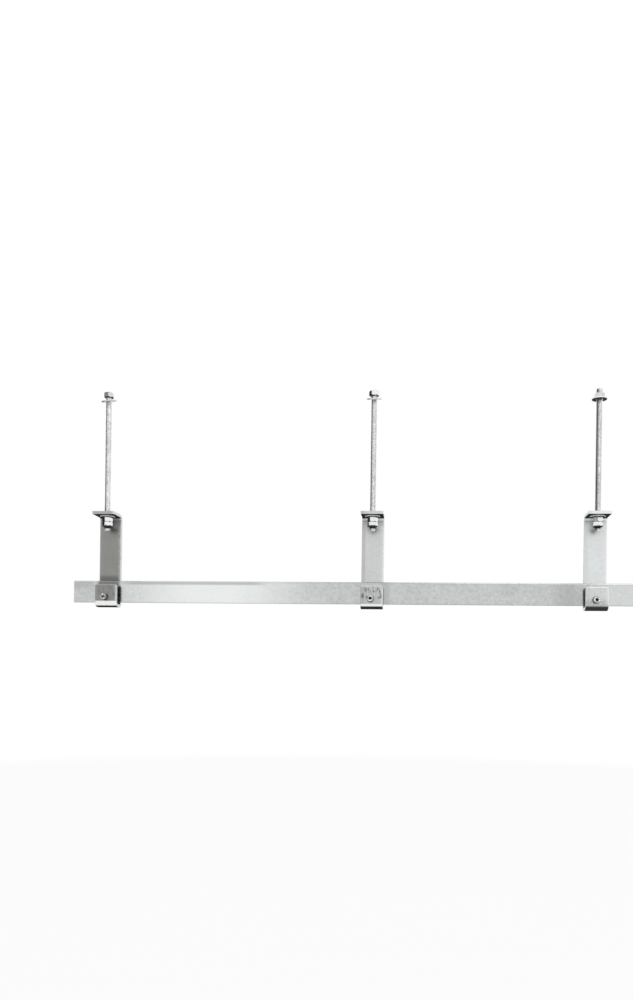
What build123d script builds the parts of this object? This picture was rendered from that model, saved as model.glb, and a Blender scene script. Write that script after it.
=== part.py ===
from build123d import *
import os
from math import cos, radians, sin, sqrt, tan
from typing import NamedTuple

os.makedirs("parts", exist_ok=True)

# Overhead rail for meat hooks: a flat bar held on edge in three folded hangers.
# Each hanger hangs from a threaded rod, with a levelling nut and a lock nut under its
# flange, and a nut and washer at the top, which go above the plate that carries the rail.
# Frame: +X along the rail, -Y towards the open front of the hangers, +Z up.
# The origin is on the middle rod's axis, on the underside of its top nut.
# All sizes are in millimetres.

# Rail
RAIL_HEIGHT = 60
RAIL_THICKNESS = 10
RAIL_EDGE_RADIUS = 4
LEFT_OVERHANG = 98
LEFT_SPAN = 725
RIGHT_SPAN = 590
RIGHT_OVERHANG = 110

# Hanger, folded from flat bar: a flange on top, a strip, and a jaw at the bottom
BAR_WIDTH = 60
BAR_THICKNESS = 8
BEND_RADIUS = 7
BAR_EDGE_RADIUS = 1
HANGER_HEIGHT = 255
FLANGE_REACH = 60
JAW_GAP = 25
TAB_HEIGHT = 61
TAB_CORNER_RADIUS = 6
RAIL_LIFT = 5

# Socket head clamp screw through the tab, with its tip on the rail
SCREW_DIAMETER = 10
SCREW_HEAD_DIAMETER = 16
SCREW_HEAD_HEIGHT = 10
SCREW_RIM = 0.8
SOCKET_FLATS = 8
SOCKET_DEPTH = 5
SCREW_RISE = 26.5
SCREW_OFFSET = -3
SCREW_STANDOFF = 4
SCREW_POINT = 1.2

# Hanging rod, with its thread's crests as its surface
ROD_DIAMETER = 16
ROD_LENGTH = 373
ROD_SETBACK = 27
ROD_HOLE_DIAMETER = 18
ROD_TAIL = 11
ROD_CHAMFER = 1.5

# Nuts and washers
NUT_FLATS = 24
NUT_HEIGHT = 13
WASHER_DIAMETER = 40
WASHER_BORE = 18
WASHER_THICKNESS = 3
WASHER_CHAMFER = 0.4

# Nuts' ends: their flat circle as a share of the flats, and the bevel outside it
HEX_FACE_SHARE = 0.95
HEX_BEVEL_ANGLE = 30

# Radial clearance between a screw or rod and its thread
THREAD_CLEARANCE = 0.05


class Hanging(NamedTuple):
    """What differs from hanger to hanger."""

    number: int
    x: float
    # how far the top nut's underside lies below the rod's top end
    nut_depth: float
    # how far the top washer's middle lies under its nut, and how it leans
    washer_drop: float
    front_down: float
    right_up: float
    # how far each hexagon is turned on its axis
    top_turn: float
    lower_turn: float
    lock_turn: float
    screw_turn: float


# The first two top washers hang loose on the thread, edge on to the front,
# and the third lies flat against its nut.
HANGERS = [
    Hanging(1, -LEFT_SPAN, 10, 9, 13, 6, -19, 20, 17, 10),
    Hanging(2, 0, 13, 7.5, 16, 0, 3, 3, -2, 40),
    Hanging(3, RIGHT_SPAN, 25, WASHER_THICKNESS / 2, 0, 0, 30, 19, 24, 25),
]

# Heights and depths that follow from the sizes above, down from the rods' top ends
rod_top = HANGERS[1].nut_depth
rod_bottom = rod_top - ROD_LENGTH
lock_nut_under = rod_bottom + ROD_TAIL
lower_nut_under = lock_nut_under + NUT_HEIGHT
nut_top = lower_nut_under + NUT_HEIGHT
flange_under = nut_top + WASHER_THICKNESS
flange_top = flange_under + BAR_THICKNESS
jaw_bottom = flange_top - HANGER_HEIGHT
jaw_floor = jaw_bottom + BAR_THICKNESS
tab_top = jaw_bottom + TAB_HEIGHT
rail_bottom = jaw_floor + RAIL_LIFT
strip_front = ROD_SETBACK
flange_front = strip_front - FLANGE_REACH
tab_back = strip_front - JAW_GAP
tab_front = tab_back - BAR_THICKNESS
rail_front = strip_front - RAIL_THICKNESS
bar_edge = min(BAR_EDGE_RADIUS, 0.4 * BAR_THICKNESS)
rail_edge = min(RAIL_EDGE_RADIUS, 0.45 * RAIL_THICKNESS)


def write(builder, label):
    """Label a finished piece and write its STEP file."""
    builder.part.label = label
    export_step(builder.part, f"parts/{label}.step")


def rail():
    """The flat bar on edge, with its four long edges rounded."""
    left = -LEFT_SPAN - LEFT_OVERHANG
    length = LEFT_OVERHANG + LEFT_SPAN + RIGHT_SPAN + RIGHT_OVERHANG
    section = Plane(origin=(left, 0, 0), x_dir=(0, 1, 0), z_dir=(1, 0, 0))
    with BuildPart() as bar:
        with BuildSketch(section):
            with Locations((rail_front, rail_bottom)):
                RectangleRounded(
                    RAIL_THICKNESS, RAIL_HEIGHT, rail_edge, align=(Align.MIN, Align.MIN)
                )
        extrude(amount=length)
    return bar


def hanger_bar(x):
    """One bar folded three times, with a rod hole and a threaded screw hole."""
    side = Plane(origin=(x, 0, 0), x_dir=(0, 1, 0), z_dir=(1, 0, 0))
    screw_seat = Plane(
        origin=(x + SCREW_OFFSET, tab_front, jaw_bottom + SCREW_RISE), z_dir=(0, -1, 0)
    )
    with BuildPart() as bar:
        with BuildSketch(side):
            with BuildLine():
                FilletPolyline(
                    (flange_front, flange_under),
                    (strip_front, flange_under),
                    (strip_front, jaw_floor),
                    (tab_back, jaw_floor),
                    (tab_back, tab_top),
                    radius=BEND_RADIUS,
                )
                offset(amount=BAR_THICKNESS, side=Side.LEFT)
            make_face()
        extrude(amount=BAR_WIDTH / 2, both=True)
        across_tab = bar.edges().filter_by(Axis.Y)
        fillet(
            across_tab.filter_by_position(Axis.Z, tab_top - 0.1, tab_top + 0.1),
            radius=TAB_CORNER_RADIUS,
        )
        fillet(bar.faces().filter_by(Axis.X).edges(), radius=bar_edge)
        with Locations((x, 0, flange_top)):
            Hole(ROD_HOLE_DIAMETER / 2, depth=BAR_THICKNESS)
        with Locations(screw_seat):
            Hole(SCREW_DIAMETER / 2 + THREAD_CLEARANCE, depth=BAR_THICKNESS)
    return bar


def through_axis(seat):
    """The plane that holds the seat's axis, with its own x and the axis as its two directions."""
    return Plane(origin=seat.origin, x_dir=seat.x_dir, z_dir=-seat.y_dir)


def bevelled_blank(flats, height):
    """Half section of the turned blank that bevels both ends of a hexagon."""
    face = HEX_FACE_SHARE * flats / 2
    outer = flats / sqrt(3) + 1
    rise = (outer - face) * tan(radians(HEX_BEVEL_ANGLE))
    return [(0, 0), (face, 0), (outer, rise), (outer, height - rise), (face, height), (0, height)]


def hex_nut(x, height, turn):
    """A hexagon nut on the rod, with its underside at the given height."""
    seat = Plane(origin=(x, 0, height), x_dir=(cos(radians(turn)), sin(radians(turn)), 0))
    with BuildPart() as nut:
        with BuildSketch(seat):
            RegularPolygon(NUT_FLATS / 2, side_count=6, major_radius=False)
        extrude(amount=NUT_HEIGHT)
        with BuildSketch(through_axis(seat)):
            with BuildLine():
                Polyline(bevelled_blank(NUT_FLATS, NUT_HEIGHT), close=True)
            make_face()
        revolve(axis=Axis(seat.origin, seat.z_dir), mode=Mode.INTERSECT)
        with Locations(seat):
            Hole(ROD_DIAMETER / 2 + THREAD_CLEARANCE)
    return nut


def washer(seat):
    """A flat ring that stands on the given plane, with its rims broken."""
    with BuildPart() as ring:
        with BuildSketch(seat):
            Circle(WASHER_DIAMETER / 2)
            Circle(WASHER_BORE / 2, mode=Mode.SUBTRACT)
        extrude(amount=WASHER_THICKNESS)
        chamfer(ring.edges(), WASHER_CHAMFER)
    return ring


def hanging_rod(x):
    """A straight rod with both ends chamfered."""
    with BuildPart() as rod:
        with BuildSketch(Plane(origin=(x, 0, rod_bottom))):
            Circle(ROD_DIAMETER / 2)
        extrude(amount=ROD_LENGTH)
        chamfer(rod.edges().filter_by(GeomType.CIRCLE), ROD_CHAMFER)
    return rod


def clamp_screw(x, turn):
    """A socket head screw through the tab, its flat point on the rail's face."""
    point = Plane(
        origin=(x + SCREW_OFFSET, rail_front, jaw_bottom + SCREW_RISE),
        x_dir=(cos(radians(turn)), 0, sin(radians(turn))),
        z_dir=(0, -1, 0),
    )
    shank = rail_front - tab_front + SCREW_STANDOFF
    with BuildPart() as screw:
        with BuildSketch(point):
            Circle(SCREW_DIAMETER / 2)
        extrude(amount=shank)
        chamfer(screw.faces().sort_by(Axis.Y)[-1].edges(), SCREW_POINT)
        with BuildSketch(point.offset(shank)):
            Circle(SCREW_HEAD_DIAMETER / 2)
        extrude(amount=SCREW_HEAD_HEIGHT)
        chamfer(screw.faces().sort_by(Axis.Y)[0].edges(), SCREW_RIM)
        with BuildSketch(point.offset(shank + SCREW_HEAD_HEIGHT)):
            RegularPolygon(SOCKET_FLATS / 2, side_count=6, major_radius=False)
        extrude(amount=-SOCKET_DEPTH, mode=Mode.SUBTRACT)
    return screw


def leaning_seat(place):
    """The plane under a top washer, turned about the washer's own middle."""
    front, right = tan(radians(place.front_down)), tan(radians(place.right_up))
    middle = Plane(
        origin=(place.x, 0, rod_top - place.nut_depth - place.washer_drop),
        x_dir=(1, 0, right),
        z_dir=(-right, -front, 1),
    )
    return middle.offset(-WASHER_THICKNESS / 2)


write(rail(), "rail")
for place in HANGERS:
    lower_nut = hex_nut(place.x, lower_nut_under, place.lower_turn)
    lock_nut = hex_nut(place.x, lock_nut_under, place.lock_turn)
    top_nut = hex_nut(place.x, rod_top - place.nut_depth, place.top_turn)
    write(hanger_bar(place.x), f"hanger_bar_{place.number}")
    write(clamp_screw(place.x, place.screw_turn), f"clamp_screw_{place.number}")
    write(hanging_rod(place.x), f"hanging_rod_{place.number}")
    write(washer(Plane(origin=(place.x, 0, nut_top))), f"lower_washer_{place.number}")
    write(lower_nut, f"lower_nut_{place.number}")
    write(lock_nut, f"lock_nut_{place.number}")
    write(washer(leaning_seat(place)), f"top_washer_{place.number}")
    write(top_nut, f"top_nut_{place.number}")
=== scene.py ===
# %% [markdown]
# # A meat hook rail: dressing a CAD model in Blender
#
# The object is an overhead rail for meat hooks. A flat steel bar stands on edge in three folded
# hangers. Each hanger hangs from a threaded rod, with a washer and two nuts under its flange and
# a nut and washer at the top. The CAD model gives every size. This script adds what the CAD leaves
# out: real threads, zinc and dirt, painted light and shade, and the light and camera of the
# photograph.

# %% Load the imported model
from math import cos, pi, radians, sin

import bmesh
import bpy
from mathutils import Matrix, Vector


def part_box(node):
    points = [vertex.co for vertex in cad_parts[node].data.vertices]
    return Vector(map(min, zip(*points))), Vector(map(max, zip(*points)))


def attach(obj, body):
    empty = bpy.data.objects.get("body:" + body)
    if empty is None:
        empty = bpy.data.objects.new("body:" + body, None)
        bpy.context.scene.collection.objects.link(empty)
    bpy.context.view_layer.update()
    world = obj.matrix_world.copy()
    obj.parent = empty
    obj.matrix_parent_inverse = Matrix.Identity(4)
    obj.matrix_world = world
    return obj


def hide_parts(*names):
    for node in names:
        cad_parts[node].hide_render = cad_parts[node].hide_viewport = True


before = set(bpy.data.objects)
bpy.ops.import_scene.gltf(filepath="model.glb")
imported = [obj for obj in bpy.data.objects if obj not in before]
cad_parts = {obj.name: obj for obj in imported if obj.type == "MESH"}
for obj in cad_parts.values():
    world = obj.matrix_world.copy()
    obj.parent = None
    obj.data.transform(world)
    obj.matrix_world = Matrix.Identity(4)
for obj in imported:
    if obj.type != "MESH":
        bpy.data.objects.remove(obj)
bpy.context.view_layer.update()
HANGERS = (1, 2, 3)
MM = 0.001
print("loaded", len(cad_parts), "nodes")

# %% [markdown]
# ## The camera
#
# A camera is found by asking where it must stand for the object's known corners to land where the
# photograph shows them. Here it stands 2.3 m in front of the rail and lower than it, looks level,
# and has turned a little to its left and tilted a little on its own axis. Level eyes and a rail
# high in the picture mean a shifted lens, so `shift_y` does that and nothing converges.

# %% Place the camera
CAMERA_PLACE = Vector((0.1300, -2.3229, -0.7532))
CAMERA_YAW = 0.0750
CAMERA_ROLL = 0.01358
SENSOR_WIDTH, FOCAL_LENGTH = 36, 31.39
LENS_SHIFT_X, LENS_SHIFT_Y = -0.0374, 0.1783

camera_data = bpy.data.cameras.new("camera")
camera_data.sensor_width = SENSOR_WIDTH
camera_data.lens = FOCAL_LENGTH
camera_data.shift_x = LENS_SHIFT_X
camera_data.shift_y = LENS_SHIFT_Y
camera = bpy.data.objects.new("camera", camera_data)
level = Matrix.Rotation(CAMERA_YAW, 4, "Z") @ Matrix.Rotation(radians(90), 4, "X")
tilt = Matrix.Rotation(CAMERA_ROLL, 4, "Z")
camera.matrix_world = Matrix.Translation(CAMERA_PLACE) @ level @ tilt
bpy.context.scene.collection.objects.link(camera)
bpy.context.scene.camera = camera
bpy.context.scene.view_settings.view_transform = "Standard"
print("camera at", tuple(round(v, 3) for v in CAMERA_PLACE))

# %% [markdown]
# ## Small helpers for shader nodes
#
# A procedural material is a graph, and a graph is easier to read in code when one line makes one
# node. `Graph` wraps a node tree: `add` makes a node and fills its sockets, and a socket that is
# given another node's output is linked to it.

# %% A wrapper for node trees
class Graph:
    """Builds one node tree, a line for each node."""

    def __init__(self, tree):
        self.tree = tree

    def add(self, kind, settings=None, **sockets):
        """Make a node, set its properties, and fill or link its inputs by name."""
        node = self.tree.nodes.new(kind)
        for name, value in (settings or {}).items():
            setattr(node, name, value)
        for name, value in sockets.items():
            self.feed(node.inputs[name.replace("_", " ")], value)
        return node

    def feed(self, socket, value):
        """Link an output to a socket, or set the socket's own value."""
        if isinstance(value, bpy.types.NodeSocket):
            self.tree.links.new(value, socket)
        else:
            socket.default_value = value

    def math(self, operation, first, second=0.0):
        node = self.add("ShaderNodeMath", {"operation": operation})
        self.feed(node.inputs[0], first)
        self.feed(node.inputs[1], second)
        return node.outputs[0]

    def ramp(self, value, low, high, to_low=0.0, to_high=1.0):
        """Map low..high smoothly to to_low..to_high, and hold the ends."""
        node = self.add("ShaderNodeMapRange", {"interpolation_type": "SMOOTHSTEP"})
        for name, given in (("Value", value), ("From Min", low), ("From Max", high),
                            ("To Min", to_low), ("To Max", to_high)):
            self.feed(node.inputs[name], given)
        return node.outputs["Result"]

    def blend(self, share, first, second, how="MIX"):
        """Mix two colours by a share."""
        node = self.add("ShaderNodeMix", {"data_type": "RGBA", "blend_type": how})
        self.feed(node.inputs[0], share)
        self.feed(node.inputs[6], first)
        self.feed(node.inputs[7], second)
        return node.outputs[2]

    def stretched(self, place, factors):
        """A place with each axis multiplied by its own factor."""
        node = self.add("ShaderNodeVectorMath", {"operation": "MULTIPLY"})
        self.feed(node.inputs[0], place)
        self.feed(node.inputs[1], factors)
        return node.outputs[0]

    def length(self, vector):
        node = self.add("ShaderNodeVectorMath", {"operation": "LENGTH"})
        self.feed(node.inputs[0], vector)
        return node.outputs["Value"]

    def noise(self, place, scale, detail=2.0, roughness=0.5):
        node = self.add("ShaderNodeTexNoise", Vector=place, Scale=scale, Detail=detail,
                        Roughness=roughness)
        return node.outputs["Fac"]


SOCKET_KINDS = {
    "value": "NodeSocketFloat",
    "vector": "NodeSocketVector",
    "colour": "NodeSocketColor",
}


def new_group(name, inputs, outputs):
    """A node group with float, vector or colour sockets; returns its graph, inputs and outputs."""
    tree = bpy.data.node_groups.new(name, "ShaderNodeTree")
    for label, kind, default in inputs:
        socket = tree.interface.new_socket(label, in_out="INPUT", socket_type=SOCKET_KINDS[kind])
        if default is not None:
            socket.default_value = default
    for label, kind in outputs:
        tree.interface.new_socket(label, in_out="OUTPUT", socket_type=SOCKET_KINDS[kind])
    graph = Graph(tree)
    return graph, graph.add("NodeGroupInput").outputs, graph.add("NodeGroupOutput").inputs


# %% [markdown]
# ## What zinc looks like
#
# Zinc-coated bar isn't one grey. Seen close it has a fine grain, it has soft clouds a few
# centimetres wide where the coating is thicker, a finer mottle of crystals, and hairlines drawn
# along the bar by handling. One node group makes all four from the place in the object, and each
# material sets how strong each one is. A noise seldom leaves the middle of its range, so its swing
# is stretched before it changes the tone.

# %% A node group for zinc
CLOUD_SCALE, MOTTLE_SCALE, CRYSTAL_SCALE, GRAIN_SCALE = 14.0, 105.0, 170.0, 900.0
NOISE_SWING, CRYSTAL_SWING, GRAIN_SWING = 2.6, 0.7, 0.06
MOTTLE_DULL, CRYSTAL_DULL, GRAIN_DULL = 0.14, 0.05, 0.06
GRAIN_HEIGHT, HAIRLINE_DEPTH = 0.5, 2.0

zinc, given, result = new_group(
    "zinc skin",
    [("Place", "vector", None), ("Stretch", "vector", (1, 1, 1)), ("Cloud", "value", 0.1),
     ("Mottle", "value", 0.06), ("Hairline", "value", 0.1)],
    [("Tone", "value"), ("Dull", "value"), ("Height", "value")],
)
clouds = zinc.noise(given["Place"], CLOUD_SCALE)
mottle = zinc.noise(given["Place"], MOTTLE_SCALE, detail=3.0, roughness=0.65)
grain = zinc.noise(given["Place"], GRAIN_SCALE, roughness=0.6)
crystals = zinc.add("ShaderNodeTexVoronoi", Vector=given["Place"], Scale=CRYSTAL_SCALE)
crystal_tone = zinc.add("ShaderNodeSeparateColor", Color=crystals.outputs["Color"])
lines = zinc.noise(zinc.stretched(given["Place"], given["Stretch"]), 1.0, detail=3.0, roughness=0.6)
hairline = zinc.ramp(lines, 0.56, 0.70)


def swing(value, amount):
    """A value around 0.5 as a change of up to the given amount either way."""
    return zinc.math("MULTIPLY", zinc.math("SUBTRACT", value, 0.5), amount)


cloud_change = swing(clouds, zinc.math("MULTIPLY", given["Cloud"], NOISE_SWING))
mottle_change = zinc.math(
    "ADD",
    swing(mottle, zinc.math("MULTIPLY", given["Mottle"], NOISE_SWING)),
    swing(crystal_tone.outputs["Red"], zinc.math("MULTIPLY", given["Mottle"], CRYSTAL_SWING)),
)
line_change = zinc.math("MULTIPLY", hairline, given["Hairline"])
change = zinc.math("ADD", zinc.math("ADD", cloud_change, mottle_change),
                   zinc.math("SUBTRACT", swing(grain, GRAIN_SWING), line_change))
zinc.feed(result["Tone"], zinc.math("ADD", change, 1.0))
dull = zinc.math("ADD", zinc.math("MULTIPLY", mottle, MOTTLE_DULL),
                 zinc.math("MULTIPLY", crystal_tone.outputs["Green"], CRYSTAL_DULL))
zinc.feed(result["Dull"], zinc.math("ADD", dull, zinc.math("MULTIPLY", grain, GRAIN_DULL)))
zinc.feed(result["Height"], zinc.math("SUBTRACT", zinc.math("MULTIPLY", grain, GRAIN_HEIGHT),
                                      zinc.math("MULTIPLY", line_change, HAIRLINE_DEPTH)))

# %% [markdown]
# ## Bands along edges
#
# This group gives a band along a bar's two edges, where painted highlights and painted shade are
# laid. Every bar here is straight and square to the axes, so an edge is simply a place near plus or
# minus half the bar's width. The group takes the distance from the bar's middle, and a noise makes
# the band uneven.

# %% A node group for bands along edges
edge_band, given, result = new_group(
    "edge band",
    [("Place", "vector", None), ("Across", "value", 0.0), ("Half", "value", 0.03),
     ("Band", "value", 0.002)],
    [("Mask", "value")],
)
uneven = edge_band.noise(given["Place"], 160.0)
from_edge = edge_band.math("SUBTRACT", given["Half"], edge_band.math("ABSOLUTE", given["Across"]))
reach = edge_band.math("MULTIPLY", given["Band"], edge_band.math("MULTIPLY", uneven, 2.0))
edge_band.feed(result["Mask"], edge_band.ramp(from_edge, reach, 0.0))

# %% [markdown]
# ## Painted shade under everything
#
# The undersides of flanges, washers, nuts and bends are painted nearly black, as shade, while the
# sides stay clean. The surface's own normal tells an underside: its Z part is close to minus one. A
# noise roughens the border between dark and clean.

# %% A node group for undersides
SHADE_STARTS, SHADE_IS_FULL, SHADE_RAGGED = -0.56, -0.80, 0.16

painted_shade, given, result = new_group(
    "painted shade below", [("Place", "vector", None), ("Facing", "vector", None)], [("Mask", "value")])
facing = painted_shade.add("ShaderNodeSeparateXYZ", Vector=given["Facing"])
ragged = painted_shade.math("MULTIPLY", painted_shade.noise(given["Place"], 240.0), SHADE_RAGGED)
down = painted_shade.math("ADD", facing.outputs["Z"], ragged)
painted_shade.feed(result["Mask"], painted_shade.ramp(down, SHADE_STARTS, SHADE_IS_FULL))

# %% [markdown]
# ## A band along one axis
#
# Dirt, painted highlights and painted shade often lie in a band: a highlight on a fold, a dark band
# above the rail, a brighter stretch of rail. This group takes a place along one axis and gives 1
# between two limits, with soft borders on both sides.

# %% A node group for bands
band, given, result = new_group(
    "band",
    [("Along", "value", 0.0), ("From", "value", 0.0), ("To", "value", 1.0),
     ("Soft", "value", 0.001)],
    [("Mask", "value")],
)
rise = band.ramp(given["Along"], band.math("SUBTRACT", given["From"], given["Soft"]),
                 band.math("ADD", given["From"], given["Soft"]))
fall = band.ramp(given["Along"], band.math("SUBTRACT", given["To"], given["Soft"]),
                 band.math("ADD", given["To"], given["Soft"]), 1.0, 0.0)
band.feed(result["Mask"], band.math("MULTIPLY", rise, fall))

# %% [markdown]
# ## Materials
#
# Bare metal has no diffuse colour: all of its grey is what it mirrors, more or less blurred. So
# each finish is a Principled shader with Metallic near 1, a base colour that says how much it
# returns, and a roughness that says how blurred it is. The groups above vary both. Painted shade
# isn't a metal, and neither is the chalky white that zinc weathers to, so both of them lower
# Metallic.

# %% A helper that starts a metal
# Painted highlight, painted grey of a lit side, painted shade grey, and painted black shade
PAINTED_HIGHLIGHT = (0.93, 0.94, 0.94, 1)
LIT_SIDE_GREY = (0.66, 0.67, 0.67, 1)
SHADE_GREY = (0.36, 0.365, 0.365, 1)
SHADE_BLACK = (0.012, 0.012, 0.011, 1)
SHADE_ROUGHNESS = 0.85
MEAN_DULL = 0.12
BUMP_STRENGTH, BUMP_DISTANCE = 0.12, 0.0004
ALONG_X, ALONG_Z = (3.0, 700.0, 700.0), (700.0, 700.0, 6.0)
EVERY_WAY, ON_RODS = (200.0, 200.0, 200.0), (60.0, 60.0, 60.0)


class Metal:
    """A metal whose tone, roughness and bump come from the zinc group, ready for more layers."""

    def __init__(self, name, colour, roughness, stretch, cloud, mottle, hairline, under_shade=0.97):
        self.material = bpy.data.materials.new(name)
        self.material.use_nodes = True
        self.graph = Graph(self.material.node_tree)
        self.shader = self.material.node_tree.nodes["Principled BSDF"]
        self.shader.inputs["Specular IOR Level"].default_value = 0.0
        origin = self.graph.add("ShaderNodeTexCoord")
        self.place, self.facing = origin.outputs["Object"], origin.outputs["Normal"]
        axes = self.graph.add("ShaderNodeSeparateXYZ", Vector=self.place)
        self.x, self.y, self.z = (axes.outputs[axis] for axis in "XYZ")
        skin = self.group(zinc, Place=self.place, Stretch=stretch, Cloud=cloud, Mottle=mottle,
                          Hairline=hairline)
        self.rough = self.graph.math("ADD", skin["Dull"], roughness - MEAN_DULL)
        bump = self.graph.add("ShaderNodeBump", Strength=BUMP_STRENGTH, Distance=BUMP_DISTANCE,
                              Height=skin["Height"])
        self.graph.feed(self.shader.inputs["Normal"], bump.outputs["Normal"])
        tone = self.graph.add("ShaderNodeCombineColor", Red=skin["Tone"], Green=skin["Tone"],
                              Blue=skin["Tone"])
        self.colour = self.graph.blend(1.0, colour, tone.outputs["Color"], "MULTIPLY")
        below = self.group(painted_shade, Place=self.place, Facing=self.facing)
        self.painted_shade = self.graph.math("MULTIPLY", below["Mask"], under_shade)

    def group(self, inner, **sockets):
        """Put a node group into this material and return its outputs."""
        return self.graph.add("ShaderNodeGroup", {"node_tree": inner.tree}, **sockets).outputs

    def layer(self, mask, share, colour):
        """Lay a colour over what is there, as far as the mask says."""
        shown = self.graph.math("MULTIPLY", mask, share)
        self.colour = self.graph.blend(shown, self.colour, colour)

    def add_shade(self, mask, share):
        """Add a place of painted shade."""
        added = self.graph.math("MULTIPLY", mask, share)
        self.painted_shade = self.graph.math("MAXIMUM", self.painted_shade, added)

    def within(self, along, low, high, soft):
        """A mask that is 1 between two places along an axis."""
        return self.group(band, Along=along, From=low, To=high, Soft=soft)["Mask"]

    def both(self, first, second):
        """A mask where two masks meet."""
        return self.graph.math("MULTIPLY", first, second)

    def near_edges(self, across, half, width):
        """A mask along the two edges that lie half a width from the middle."""
        return self.group(edge_band, Place=self.place, Across=across, Half=half, Band=width)["Mask"]

    def noise(self, scale, detail=2.0):
        return self.graph.noise(self.place, scale, detail)

    def finish(self, chalk=0.0):
        """Lay the painted shade over the metal: dark, rough and not a metal. Return the material.

        Chalk is the share of the zinc that has weathered to a dull white, which mirrors nothing.
        """
        self.layer(self.painted_shade, 1.0, SHADE_BLACK)
        self.graph.feed(self.shader.inputs["Base Color"], self.colour)
        clear = self.graph.math("SUBTRACT", 1.0, self.painted_shade)
        metallic = self.graph.math("MULTIPLY", clear, 1.0 - chalk)
        self.graph.feed(self.shader.inputs["Metallic"], metallic)
        clean = self.graph.math("MULTIPLY", self.rough, clear)
        shade_rough = self.graph.math("MULTIPLY", self.painted_shade, SHADE_ROUGHNESS)
        self.graph.feed(self.shader.inputs["Roughness"], self.graph.math("ADD", clean, shade_rough))
        return self.material


# %% [markdown]
# ### The rail
#
# The bar has been drawn through dies, so its hairlines run lengthwise. Reflections and shade are
# painted along it: the long span and the right end brighter, the left end and the rail beside two
# tabs darker. Its long edges and underside get painted shade, and the left hanger's tab casts a
# painted shadow on its face.

# %% The rail's finish
LOW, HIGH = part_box("rail")
PAST_EDGE = 0.01
EDGE_SHADE = (0.40, 0.41, 0.41, 1)

metal = Metal("rail_steel", (0.55, 0.565, 0.565, 1), 0.20, ALONG_X, cloud=0.08, mottle=0.16,
              hairline=0.05, under_shade=0.2)
# Stretches of painted reflection and shade along the rail, each with where from, where to, how soft
# its ends are, its share and colour.
for start, end, soft, share, colour in (
    (-0.63, -0.24, 0.16, 0.80, (0.89, 0.91, 0.91, 1)),
    (0.61, 0.80, 0.03, 0.40, (0.80, 0.82, 0.82, 1)),
    (0.49, 0.55, 0.03, 0.45, SHADE_GREY),
    (0.02, 0.046, 0.010, 0.45, SHADE_GREY),
):
    metal.layer(metal.within(metal.x, start, end, soft), share, colour)


def along_top(depth, soft):
    """A mask for the rail's upper edge and the given depth below it."""
    return metal.within(metal.z, HIGH.z - depth, HIGH.z + PAST_EDGE, soft)


# A painted shade band along the top of the left span, and painted shade on the top edge
top_shade = metal.both(along_top(0.010, 0.002), metal.within(metal.x, -0.68, -0.30, 0.03))
metal.layer(top_shade, 0.65, (0.38, 0.39, 0.39, 1))
metal.layer(along_top(0.005, 0.001), 0.30, EDGE_SHADE)
# A painted shadow of the left hanger's tab on the rail just above it
tab_one_shadow = metal.both(along_top(0.014, 0.001), metal.within(metal.x, -0.755, -0.695, 0.007))
metal.layer(tab_one_shadow, 0.75, (0.07, 0.07, 0.068, 1))
# Painted shade on the left end, darker towards the top
end_shade = metal.both(metal.within(metal.x, LOW.x - PAST_EDGE, -0.77, 0.012),
                       metal.graph.ramp(metal.z, LOW.z + 0.02, HIGH.z))
metal.layer(end_shade, 0.40, SHADE_GREY)
# Painted shade along both long edges
height = metal.graph.math("SUBTRACT", metal.z, (LOW.z + HIGH.z) / 2)
metal.layer(metal.near_edges(height, (HIGH.z - LOW.z) / 2, 0.0030), 0.40, (0.45, 0.46, 0.46, 1))
rail_steel = metal.finish()

# %% [markdown]
# ### The hangers
#
# Each hanger was folded from flat bar. Its lower bend gets a painted highlight, with painted shade
# under it, and its right-hand edges and sides get painted light while the left edge gets painted
# shade. The inside of the jaw is painted black as shade, and drips have left dark smears down the
# tab. Each hanger's tone is painted lighter or darker as shade, the left one darkest, and the left
# one has a painted reflection of the rail as a dark band just above the rail.

# %% The hangers' finish
JAW_TOP, JAW_FLOOR, TAB_BACK, STRIP_FRONT = -0.504, -0.5595, 0.0015, 0.0275
TAB_TOP, SCREW_LEFT, SCREW_HEIGHT, HEAD_RADIUS = -0.506, -0.003, -0.5405, 0.008
FLANGE_UNDER, FLANGE_FRONT = -0.320, -0.033
SPECK_SCALE = 330.0


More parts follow.
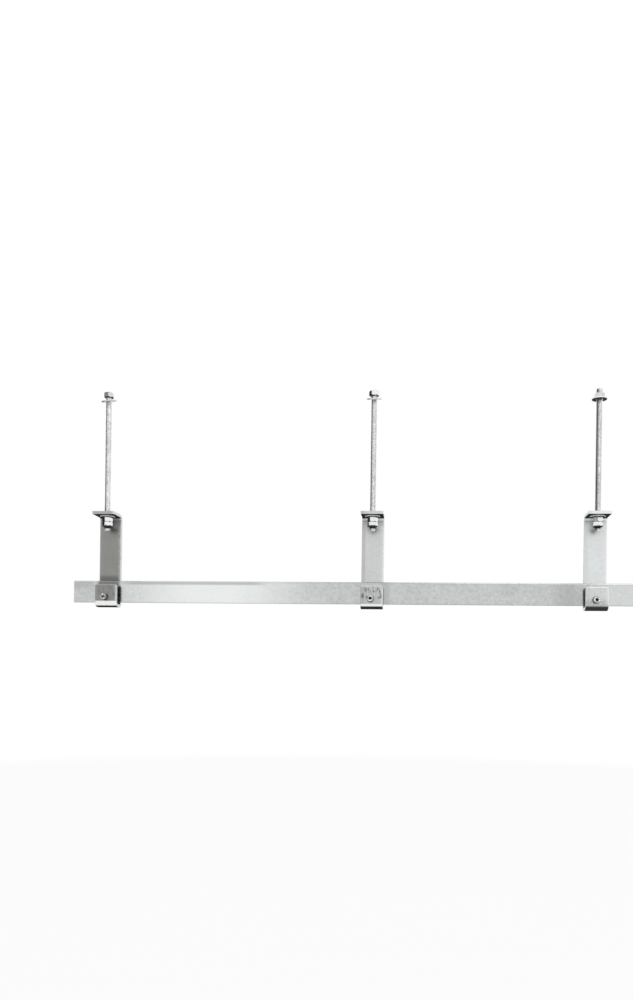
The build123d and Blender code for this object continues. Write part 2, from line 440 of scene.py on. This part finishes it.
def hanger_finish(name, node, colour, roughness, bend_highlight, shade_border, smear, rail_reflection, tab_shade,
                  tab_highlight, speckle, flange_sheen, left_edge_shade, screw_shadow):
    """Folded bar steel for one hanger.

    Its lower bend has a painted highlight between the two given heights, with painted shade below
    it whose border is as soft as given. The rest are the shares of its marks.
    """
    low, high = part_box(node)
    middle, half = (low.x + high.x) / 2, (high.x - low.x) / 2
    metal = Metal(name, colour, roughness, ALONG_Z, cloud=0.07, mottle=0.06, hairline=0.06)
    graph = metal.graph
    across = graph.math("SUBTRACT", metal.x, middle)

    # Painted shade on the tab's front face, a painted sheen on the flange's front face, and painted
    # shade along the left edge
    on_tab = metal.both(graph.ramp(metal.y, TAB_BACK, TAB_BACK - 0.002),
                        graph.ramp(metal.z, TAB_TOP + 0.004, TAB_TOP + 0.002))
    metal.layer(on_tab, tab_shade, (0.20, 0.20, 0.195, 1))
    on_front = metal.both(graph.ramp(metal.z, FLANGE_UNDER - 0.003, FLANGE_UNDER),
                          graph.ramp(metal.y, FLANGE_FRONT + 0.002, FLANGE_FRONT + 0.001))
    metal.layer(on_front, flange_sheen, PAINTED_HIGHLIGHT)
    on_left = graph.ramp(across, 0.011 - half, 0.008 - half)
    metal.layer(on_left, left_edge_shade, (0.30, 0.305, 0.305, 1))

    # Drips and specks on the tab, and a painted reflection of the rail as a dark band on the strip
    drips = graph.noise(graph.stretched(metal.place, (150.0, 150.0, 55.0)), 1.0, roughness=0.6)
    smeared = metal.both(graph.ramp(drips, 0.54, 0.62),
                         metal.within(metal.z, TAB_TOP - 0.034, TAB_TOP - 0.004, 0.004))
    metal.layer(metal.both(smeared, on_tab), smear, (0.16, 0.155, 0.15, 1))
    spots = metal.noise(SPECK_SCALE)
    speckled = metal.both(graph.ramp(spots, 0.42, 0.62),
                          metal.within(metal.z, -0.556, -0.541, 0.006))
    metal.layer(metal.both(speckled, on_tab), speckle, (0.12, 0.12, 0.115, 1))
    ragged = graph.math("ADD", metal.z, graph.math("MULTIPLY", spots, 0.012))
    metal.layer(metal.within(ragged, -0.500, -0.474, 0.006), rail_reflection, (0.09, 0.09, 0.085, 1))

    # A painted shadow around the clamp screw's head
    sideways = graph.math("SUBTRACT", across, SCREW_LEFT)
    upwards = graph.math("SUBTRACT", metal.z, SCREW_HEIGHT)
    from_screw = graph.length(
        graph.add("ShaderNodeCombineXYZ", X=sideways, Y=upwards).outputs[0])
    head_shadow = metal.within(from_screw, HEAD_RADIUS - 0.002, HEAD_RADIUS + 0.002, 0.001)
    metal.layer(metal.both(head_shadow, on_tab), screw_shadow, (0.08, 0.08, 0.075, 1))

    # Painted highlights along edges: a soft and a sharp band on the right, and the tab's top
    right_side = graph.ramp(across, -half, half, 0.15, 0.95)
    for width, share in ((0.0105, 0.30), (0.0036, 0.7)):
        metal.layer(metal.both(metal.near_edges(across, half, width), right_side), share, PAINTED_HIGHLIGHT)
    tab_edge = metal.near_edges(graph.math("SUBTRACT", metal.z, TAB_TOP - 0.1), 0.1, 0.0034)
    metal.layer(metal.both(tab_edge, on_tab), tab_highlight, PAINTED_HIGHLIGHT)

    # Painted light on the right-facing sides, a painted highlight on the lower bend with painted
    # shade under it, and the inside of the jaw painted black as shade
    turned = graph.add("ShaderNodeSeparateXYZ", Vector=metal.facing)
    metal.layer(graph.ramp(turned.outputs["X"], 0.6, 0.9), 0.9, LIT_SIDE_GREY)
    not_side = graph.ramp(graph.math("ABSOLUTE", turned.outputs["X"]), 0.6, 0.4)
    bottom, top = bend_highlight
    bend = metal.within(metal.z, bottom, top, 0.0006)
    metal.layer(metal.both(bend, not_side), 0.95, PAINTED_HIGHLIGHT)
    under = graph.ramp(metal.z, bottom + shade_border, bottom - shade_border)
    metal.add_shade(metal.both(under, not_side), 0.95)
    inside = metal.both(metal.within(metal.y, TAB_BACK, STRIP_FRONT, 0.0003),
                        metal.within(metal.z, JAW_FLOOR, JAW_TOP, 0.0006))
    metal.add_shade(metal.both(inside, not_side), 0.92)
    return metal.finish()


# Each hanger's tone is painted lighter or darker as light and shade, the left one darkest
hanger_finishes = {
    1: hanger_finish("dull_hanger_steel", "hanger_bar_1", (0.282, 0.282, 0.27, 1), 0.38,
                     (-0.5643, -0.5512), 0.0010, smear=0.6, rail_reflection=0.6, tab_shade=0.12,
                     tab_highlight=0.25, speckle=0.0, flange_sheen=0.22, left_edge_shade=0.0,
                     screw_shadow=0.25),
    2: hanger_finish("hanger_steel_middle", "hanger_bar_2", (0.605, 0.62, 0.62, 1), 0.36,
                     (-0.5610, -0.5550), 0.0006, smear=0.95, rail_reflection=0.0, tab_shade=0.25,
                     tab_highlight=0.6, speckle=0.0, flange_sheen=0.0, left_edge_shade=0.35,
                     screw_shadow=0.55),
    3: hanger_finish("hanger_steel_right", "hanger_bar_3", (0.71, 0.73, 0.73, 1), 0.36,
                     (-0.5565, -0.5560), 0.0035, smear=0.1, rail_reflection=0.0, tab_shade=0.15,
                     tab_highlight=0.9, speckle=0.6, flange_sheen=0.4, left_edge_shade=0.12,
                     screw_shadow=0.65),
}

# %% [markdown]
# ### Rods and fixings
#
# The rods' thread roots and a screw's socket get painted shade. Where a finish follows a shape
# like that, the shape itself carries the information: the thread's mesh stores how deep each point
# lies, and the screw's mesh which faces are in its socket, and the material reads that as an
# attribute. Where a rod leaves its lock nut, the corner is painted black as shade.

# %% The rods' finish
def attribute(metal, name):
    """A value that the mesh stores."""
    return metal.graph.add("ShaderNodeAttribute", {"attribute_name": name}).outputs["Fac"]


def rod_finish(number, tone, roughness, roots, left_side_shade):
    """A threaded rod with painted shade in its thread roots, under its lock nut, and on its left
    side.
    """
    low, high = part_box(f"hanging_rod_{number}")
    metal = Metal(f"rod_zinc_{number}", (tone - 0.01, tone, tone, 1), roughness, ON_RODS,
                  cloud=0.10, mottle=0.14, hairline=0.0, under_shade=0.0)
    # Painted shade in the thread roots
    in_root = metal.graph.ramp(attribute(metal, "thread_depth"), 0.4, 1.0)
    metal.layer(in_root, roots, (0.40, 0.40, 0.39, 1))
    specks = metal.graph.ramp(metal.noise(SPECK_SCALE), 0.52, 0.60)
    metal.layer(specks, 0.35, (0.25, 0.25, 0.24, 1))
    # Painted shade where the rod leaves its lock nut
    metal.add_shade(metal.within(metal.z, low.z + 0.006, low.z + 0.013, 0.001), 0.95)
    # Painted shade on the rod's left side
    across = metal.graph.math("SUBTRACT", metal.x, (low.x + high.x) / 2)
    on_left = metal.graph.ramp(across, 0.0005, -0.0065)
    metal.layer(on_left, left_side_shade, (0.10, 0.10, 0.095, 1))
    return metal.finish()


rod_finishes = {
    1: rod_finish(1, tone=0.95, roughness=0.32, roots=0.20, left_side_shade=0.0),
    2: rod_finish(2, tone=0.91, roughness=0.22, roots=0.40, left_side_shade=0.25),
    3: rod_finish(3, tone=0.91, roughness=0.20, roots=0.40, left_side_shade=0.65),
}

# %% The nuts', washers' and screws' finishes
LOCK_NUT_UNDER, LOCK_NUT_HEIGHT = -0.349, 0.013

metal = Metal("fixings_zinc", (0.84, 0.85, 0.85, 1), 0.14, EVERY_WAY, cloud=0.05, mottle=0.12,
              hairline=0.05)
# Painted shade on the lock nuts' lower rims, and on the left facet of the middle one
rim = metal.graph.math("ADD", metal.z, metal.graph.math("MULTIPLY", metal.noise(260.0), 0.006))
metal.add_shade(metal.within(rim, LOCK_NUT_UNDER - PAST_EDGE, LOCK_NUT_UNDER + 0.0058, 0.0008), 0.9)
left_facet_shade = metal.both(
    metal.within(metal.x, -0.016, -0.0098, 0.0004),
    metal.within(metal.z, LOCK_NUT_UNDER - PAST_EDGE, LOCK_NUT_UNDER + LOCK_NUT_HEIGHT, 0.0004),
)
metal.add_shade(left_facet_shade, 0.9)
fixings_zinc = metal.finish()

# Greyer copies of the zinc, as painted shade, for outer top nuts and left and middle top washers
shaded_nut_zinc = Metal("shaded_nut_zinc", (0.66, 0.67, 0.67, 1), 0.18, EVERY_WAY, cloud=0.08,
                      mottle=0.22, hairline=0.05).finish()
washer_zinc = Metal("washer_zinc", (0.95, 0.96, 0.96, 1), 0.12, EVERY_WAY, cloud=0.05,
                    mottle=0.05, hairline=0.05).finish(chalk=0.75)
shaded_washer_zinc = Metal("shaded_washer_zinc", (0.60, 0.61, 0.61, 1), 0.18, EVERY_WAY,
                          cloud=0.05, mottle=0.2, hairline=0.05, under_shade=0.15).finish()


def screw_finish(number, tone, socket_shade):
    """A screw with painted glints and painted shade in its socket."""
    metal = Metal(f"screw_zinc_{number}", (tone, tone + 0.005, tone, 1), 0.24, EVERY_WAY,
                  cloud=0.05, mottle=0.3, hairline=0.05)
    # Painted glints, and painted shade in the socket
    glints = metal.graph.ramp(metal.noise(190.0, detail=1.0), 0.50, 0.56)
    metal.layer(glints, 0.9, PAINTED_HIGHLIGHT)
    metal.add_shade(attribute(metal, "in_socket"), socket_shade)
    return metal.finish()


# The screws' tones differ as painted shade
screw_finishes = {
    1: screw_finish(1, tone=0.34, socket_shade=0.6),
    2: screw_finish(2, tone=0.50, socket_shade=0.95),
    3: screw_finish(3, tone=0.46, socket_shade=0.95),
}
print(len(bpy.data.materials), "materials")

# %% [markdown]
# ## Dress the CAD nodes
#
# A CAD node whose shape is right keeps its mesh and only gets a material. The top nuts of the
# outer hangers, and the top washers of the left and middle hangers, are painted greyer as shade.

# %% Give the CAD nodes their finishes
def paint(piece, material):
    piece.data.materials.clear()
    piece.data.materials.append(material)


paint(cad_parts["rail"], rail_steel)
for number in HANGERS:
    paint(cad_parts[f"hanger_bar_{number}"], hanger_finishes[number])
    paint(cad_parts[f"lower_nut_{number}"], fixings_zinc)
    paint(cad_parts[f"lock_nut_{number}"], fixings_zinc)
    top_nut_zinc = fixings_zinc if number == 2 else shaded_nut_zinc
    paint(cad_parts[f"top_nut_{number}"], top_nut_zinc)
    paint(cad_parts[f"lower_washer_{number}"], washer_zinc)
    top_washer_zinc = washer_zinc if number == 3 else shaded_washer_zinc
    paint(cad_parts[f"top_washer_{number}"], top_washer_zinc)


# %% [markdown]
# ## Threads
#
# A thread is one profile swept along a helix. `bmesh.ops.spin` does just that: it turns the profile
# step by step and moves it up a little at each step, so that after one turn its end meets the next
# turn's start. One turn is spun, and copies of it are stacked by doubling, which is much quicker
# than spinning a whole rod. The ends are then cut flat and given their chamfer.

# %% A helper that spins a thread
TURN_STEPS = 24
THREAD_DEPTH = 0.6134
HALF_FLANK_SLOPE = 0.57735
WELD_DISTANCE = 0.002 * MM
SHARP_ANGLE = radians(32)


def everything(shape):
    return shape.verts[:] + shape.edges[:] + shape.faces[:]


def close_holes(shape):
    """Fill every open rim and turn all faces outwards."""
    bmesh.ops.holes_fill(shape, edges=[e for e in shape.edges if e.is_boundary])
    bmesh.ops.recalc_face_normals(shape, faces=shape.faces)


def spin_thread(shape, foot, axis, sideways, radius, pitch, length):
    """A closed thread that starts at foot and runs along axis, in an empty shape."""
    depth = THREAD_DEPTH * pitch
    flank = depth * HALF_FLANK_SLOPE
    crest = pitch / 8
    profile = [(radius, 0), (radius, crest), (radius - depth, crest + flank),
               (radius - depth, pitch - flank), (radius, pitch)]
    begin = foot - axis * pitch
    points = [shape.verts.new(begin + sideways * r + axis * z) for r, z in profile]
    lines = [shape.edges.new(pair) for pair in zip(points, points[1:])]
    bmesh.ops.spin(shape, geom=points + lines, cent=begin, axis=axis,
                   dvec=axis * (pitch / TURN_STEPS), angle=2 * pi, steps=TURN_STEPS,
                   use_merge=False)
    turns = 1
    while turns * pitch < length + 3 * pitch:
        copy = bmesh.ops.duplicate(shape, geom=everything(shape))["geom"]
        bmesh.ops.translate(shape, verts=[v for v in copy if isinstance(v, bmesh.types.BMVert)],
                            vec=axis * (pitch * turns))
        turns *= 2
    bmesh.ops.remove_doubles(shape, verts=shape.verts, dist=WELD_DISTANCE)
    for place, outwards in ((foot, -axis), (foot + axis * length, axis)):
        bmesh.ops.bisect_plane(shape, geom=everything(shape), plane_co=place, plane_no=outwards,
                               clear_outer=True)
    close_holes(shape)


def chamfer_end(shape, place, inward, radius, chamfer):
    """Pull points near an end in towards the axis, as a 45 degree chamfer does."""
    for vertex in shape.verts:
        along = (vertex.co - place).dot(inward)
        on_axis = place + inward * along
        out = vertex.co - on_axis
        limit = radius - chamfer + along
        if 0 <= along + 1e-9 and out.length > limit > 0:
            vertex.co = on_axis + out * (limit / out.length)


def store_depth(shape, axis_place, axis, radius, pitch):
    """Write each point's depth below the crest, from 0 to 1, as an attribute."""
    layer = shape.verts.layers.float.new("thread_depth")
    for vertex in shape.verts:
        out = vertex.co - axis_place
        out = out - axis * out.dot(axis)
        depth = (radius - out.length) / (THREAD_DEPTH * pitch)
        vertex[layer] = min(1.0, max(0.0, depth))


def finished(shape, name, material, body, replaces):
    """Turn a bmesh into a piece that rides on a body and stands for a CAD node."""
    for face in shape.faces:
        face.smooth = True
    for edge in shape.edges:
        if len(edge.link_faces) == 2 and edge.calc_face_angle(0) > SHARP_ANGLE:
            edge.smooth = False
    mesh = bpy.data.meshes.new(name)
    shape.to_mesh(mesh)
    shape.free()
    piece = bpy.data.objects.new(name, mesh)
    bpy.context.scene.collection.objects.link(piece)
    paint(piece, material)
    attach(piece, body)
    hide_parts(replaces)
    print(name, len(mesh.polygons), "faces")


# %% [markdown]
# ### The hanging rods
#
# They are M16 rods with a 2 mm pitch. Each is turned differently, as three rods hung by hand are.

# %% Make the threaded rods
UP = Vector((0, 0, 1))
ROD_RADIUS, ROD_PITCH, ROD_CHAMFER = 8 * MM, 2 * MM, 1.5 * MM
TURN_BETWEEN_RODS = 1.7

for number in HANGERS:
    low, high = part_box(f"hanging_rod_{number}")
    length = high.z - low.z
    foot = Vector(((low.x + high.x) / 2, (low.y + high.y) / 2, low.z))
    rod = bmesh.new()
    turn = TURN_BETWEEN_RODS * number
    start = Vector((cos(turn), sin(turn), 0))
    spin_thread(rod, foot, UP, start, ROD_RADIUS, ROD_PITCH, length)
    store_depth(rod, foot, UP, ROD_RADIUS, ROD_PITCH)
    chamfer_end(rod, foot, UP, ROD_RADIUS, ROD_CHAMFER)
    chamfer_end(rod, foot + UP * length, -UP, ROD_RADIUS, ROD_CHAMFER)
    finished(rod, f"threaded_rod_{number}", rod_finishes[number], f"rod_{number}",
             f"hanging_rod_{number}")

# %% [markdown]
# ### The clamp screws
#
# The head comes from the CAD node, cut off at its seat, and the shank is a real M10 thread. Faces
# inside the hexagon socket are marked, so that the material can darken them.

# %% Make the clamp screws
SCREW_RADIUS, SCREW_PITCH, SCREW_POINT, SCREW_HEAD = 5 * MM, 1.5 * MM, 1.2 * MM, 10 * MM
SOCKET_REACH, SOCKET_FROM, SOCKET_SHARE = 4.7 * MM, 0.2 * MM, 0.6
SHANK_OVERLAP = 0.5 * MM
HAIR = 1e-5
INTO_RAIL = Vector((0, 1, 0))

for number in HANGERS:
    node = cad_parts[f"clamp_screw_{number}"]
    low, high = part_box(node.name)
    head = bmesh.new()
    head.from_mesh(node.data)
    bmesh.ops.remove_doubles(head, verts=head.verts, dist=1e-6)
    tip = [v.co for v in head.verts if v.co.y > high.y - HAIR]
    point = sum(tip, Vector()) / len(tip)
    seat_y = low.y + SCREW_HEAD
    bmesh.ops.bisect_plane(head, geom=everything(head), plane_co=(0, seat_y + HAIR, 0),
                           plane_no=INTO_RAIL, clear_outer=True)
    close_holes(head)

    shank = bmesh.new()
    foot = Vector((point.x, seat_y - SHANK_OVERLAP, point.z))
    spin_thread(shank, foot, INTO_RAIL, Vector((1, 0, 0)), SCREW_RADIUS, SCREW_PITCH,
                high.y - foot.y)
    chamfer_end(shank, Vector((point.x, high.y, point.z)), -INTO_RAIL, SCREW_RADIUS,
                SCREW_POINT)
    shank_mesh = bpy.data.meshes.new("shank")
    shank.to_mesh(shank_mesh)
    shank.free()
    head.from_mesh(shank_mesh)
    bpy.data.meshes.remove(shank_mesh)

    in_socket = head.faces.layers.float.new("in_socket")
    for face in head.faces:
        middle = face.calc_center_median()
        off_axis = Vector((middle.x - point.x, 0, middle.z - point.z)).length
        inwards = middle.y - low.y
        if SOCKET_FROM < inwards < SOCKET_SHARE * SCREW_HEAD and off_axis < SOCKET_REACH:
            face[in_socket] = 1.0
    finished(head, f"threaded_screw_{number}", screw_finishes[number], f"clamp_{number}",
             f"clamp_screw_{number}")

# %% [markdown]
# ## The studio
#
# Metal shows its surroundings, so the surroundings are most of the picture. The world is white
# where the camera or a reflection sees it. The dark left edges of rods and nuts come from dark
# cards beside and behind the object, which only reflections see. The lamps hang high, so that no
# nut mirrors one of them towards the camera.

# %% The white world
WORLD_DIM, WORLD_WHITE = 0.75, 1.0

world = bpy.data.worlds.new("studio")
world.use_nodes = True
bpy.context.scene.world = world
graph = Graph(world.node_tree)
world.node_tree.nodes.clear()
path = graph.add("ShaderNodeLightPath").outputs
mirrored = graph.math("MAXIMUM", path["Is Glossy Ray"], path["Is Transmission Ray"])
shown = graph.math("MAXIMUM", path["Is Camera Ray"], mirrored)
dim = graph.add("ShaderNodeBackground", Color=(1, 1, 1, 1), Strength=WORLD_DIM)
white = graph.add("ShaderNodeBackground", Color=(1, 1, 1, 1), Strength=WORLD_WHITE)
mixed = graph.add("ShaderNodeMixShader")
graph.feed(mixed.inputs[0], shown)
graph.feed(mixed.inputs[1], dim.outputs[0])
graph.feed(mixed.inputs[2], white.outputs[0])
graph.add("ShaderNodeOutputWorld", Surface=mixed.outputs[0])

# %% The pale floor
FLOOR_HEIGHT, FLOOR_RADIUS = -1.35, 12
FLOOR_GLOW, GLOW_FROM, GLOW_FULL = 0.85, 1.8, 5.0

floor_shape = bmesh.new()
bmesh.ops.create_circle(floor_shape, cap_ends=True, segments=64, radius=FLOOR_RADIUS,
                        matrix=Matrix.Translation((0, 0, FLOOR_HEIGHT)))
floor_mesh = bpy.data.meshes.new("floor")
floor_shape.to_mesh(floor_mesh)
floor_shape.free()
floor = bpy.data.objects.new("floor", floor_mesh)
bpy.context.scene.collection.objects.link(floor)
floor_paint = bpy.data.materials.new("floor_paint")
floor_paint.use_nodes = True
graph = Graph(floor_paint.node_tree)
shader = floor_paint.node_tree.nodes["Principled BSDF"]
shader.inputs["Base Color"].default_value = (0.93, 0.93, 0.93, 1)
shader.inputs["Roughness"].default_value = 0.8
away = graph.length(graph.add("ShaderNodeTexCoord").outputs["Object"])
glow = graph.add("ShaderNodeEmission", Color=(1, 1, 1, 1), Strength=1.0)
mixed = graph.add("ShaderNodeMixShader")
path = graph.add("ShaderNodeLightPath").outputs
seen = graph.math("MAXIMUM", path["Is Camera Ray"], path["Is Glossy Ray"])
far = graph.ramp(away, GLOW_FROM, GLOW_FULL)
near = graph.math("MULTIPLY", seen, FLOOR_GLOW)
graph.feed(mixed.inputs[0], graph.math("MAXIMUM", far, near))
graph.feed(mixed.inputs[1], shader.outputs[0])
graph.feed(mixed.inputs[2], glow.outputs[0])
surface = floor_paint.node_tree.nodes["Material Output"].inputs["Surface"]
graph.feed(surface, mixed.outputs[0])
paint(floor, floor_paint)


# %% Dark cards
BLACK, GREY = 0.02, 0.3
CARD_X, CARD_FOOT, CARD_TOP = -1.9, -0.9, 0.9


def dark_card(name, corners, shade):
    """A flat card that only reflections see."""
    shape = bmesh.new()
    shape.faces.new([shape.verts.new(corner) for corner in corners])
    mesh = bpy.data.meshes.new(name)
    shape.to_mesh(mesh)
    shape.free()
    card = bpy.data.objects.new(name, mesh)
    bpy.context.scene.collection.objects.link(card)
    card.visible_camera = False
    card.visible_shadow = False
    card.visible_diffuse = False
    material = bpy.data.materials.new(name)
    material.use_nodes = True
    tree = Graph(material.node_tree)
    material.node_tree.nodes.clear()
    light = tree.add("ShaderNodeEmission", Color=(shade, shade, shade, 1), Strength=1.0)
    tree.add("ShaderNodeOutputMaterial", Surface=light.outputs[0])
    paint(card, material)


def left_card(name, back, front, shade):
    """A card that stands on the left, from one depth to another."""
    dark_card(name, [(CARD_X, back, CARD_FOOT), (CARD_X, front, CARD_FOOT),
                     (CARD_X, front, CARD_TOP), (CARD_X, back, CARD_TOP)], shade)


left_card("card_left", 1.4, -0.35, BLACK)
left_card("card_left_front", -0.35, -1.0, GREY)
dark_card("card_high", [(-1.3, 0.7, 0.45), (0.3, 0.7, 0.45), (0.3, 0.7, 0.75),
                        (-1.3, 0.7, 0.75)], BLACK)


# %% Soft lamps
LAMPS_AIM = Vector((0, 0, -0.3))


def soft_lamp(name, place, size, power):
    """A large area lamp that points at the rail."""
    data = bpy.data.lights.new(name, "AREA")
    data.shape = "DISK"
    data.size = size
    data.energy = power
    lamp = bpy.data.objects.new(name, data)
    lamp.rotation_mode = "QUATERNION"
    lamp.rotation_quaternion = (LAMPS_AIM - Vector(place)).to_track_quat("-Z", "Y")
    lamp.location = place
    bpy.context.scene.collection.objects.link(lamp)


soft_lamp("key", (1.1, -1.6, 2.6), size=2.0, power=18)
soft_lamp("fill", (-1.6, -1.4, 2.4), size=1.8, power=8)
